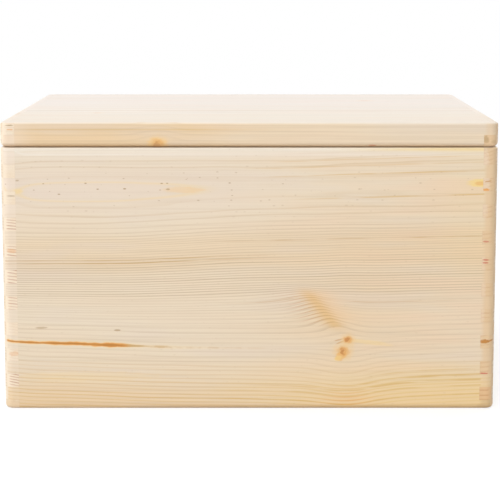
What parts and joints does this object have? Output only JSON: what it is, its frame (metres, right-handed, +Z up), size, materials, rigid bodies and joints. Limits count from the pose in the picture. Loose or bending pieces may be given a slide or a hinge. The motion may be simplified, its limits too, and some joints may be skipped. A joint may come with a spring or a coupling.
{
  "type": "wooden storage box",
  "caption": "Natural pine storage box with finger-jointed corners, rounded edges, grip holes in the ends and a flat lid on butt hinges, for papers and keepsakes.",
  "frame": {"origin": "middle of the underside, on the plane the box stands on", "axes": "+X to the right as seen from the front, +Y to the back where the hinges are, +Z up"},
  "size_m": [0.4, 0.3, 0.235],
  "materials": {
    "body_pine": "sanded, untreated",
    "lid_pine": "sanded, untreated",
    "floor_plywood": "sanded, untreated",
    "hinge_brass": "satin",
    "screw_brass": "satin"
  },
  "bodies": {
    "box": {"front_board": "body_pine", "back_board": "body_pine", "left_end_board": "body_pine", "right_end_board": "body_pine", "bottom_panel": "floor_plywood", "left_hinge_box_leaf": "hinge_brass", "right_hinge_box_leaf": "hinge_brass", "left_hinge_pin": "hinge_brass", "right_hinge_pin": "hinge_brass", "box_hinge_screws": "screw_brass"},
    "lid": {"lid_front_rail": "lid_pine", "lid_back_rail": "lid_pine", "lid_left_rail": "lid_pine", "lid_right_rail": "lid_pine", "lid_panel": "lid_pine", "left_hinge_lid_leaf": "hinge_brass", "right_hinge_lid_leaf": "hinge_brass", "lid_hinge_screws": "screw_brass"}
  },
  "joints": [
    {"name": "lid_hinge", "type": "hinge", "parent": "box", "child": "lid", "pos_m": [0, 0.1476, 0.215], "axis": [-1, 0, 0], "range_deg": [0, 105]}
  ]
}
